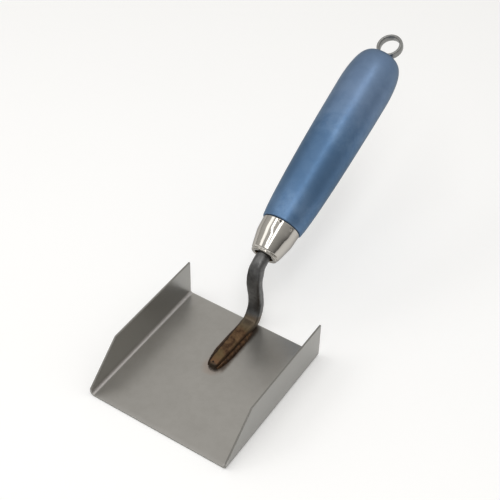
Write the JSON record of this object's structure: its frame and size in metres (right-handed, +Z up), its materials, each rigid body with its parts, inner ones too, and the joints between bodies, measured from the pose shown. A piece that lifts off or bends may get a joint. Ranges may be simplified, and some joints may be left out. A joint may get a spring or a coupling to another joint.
{
  "type": "corner trowel",
  "caption": "Small trowel with a square channel blade open at front and back, a welded swan-neck shank, a ferruled wooden handle and a hanging eye.",
  "frame": {"origin": "centre of the blade's flat underside", "axes": "+Z up through the blade, +Y from the open front edge towards the handle, X across the blade from flange to flange"},
  "size_m": [0.1, 0.277, 0.1302],
  "materials": {
    "sheet_steel": "rolled stainless sheet with a soft satin sheen",
    "forged_steel": "dark forge scale, heat tinted brown at the welded foot",
    "weld_metal": "oxidised brown weld bead",
    "bright_plate": "bright nickel plate with fine handling marks",
    "blue_lacquer": "satin metallic blue lacquer on turned beech",
    "dull_steel": "dull bare steel"
  },
  "bodies": {
    "root": {"blade": "sheet_steel", "shank": "forged_steel", "weld_bead_left": "weld_metal", "weld_bead_right": "weld_metal", "ferrule": "bright_plate", "handle": "blue_lacquer", "hanging_eye": "dull_steel"}
  },
  "joints": []
}
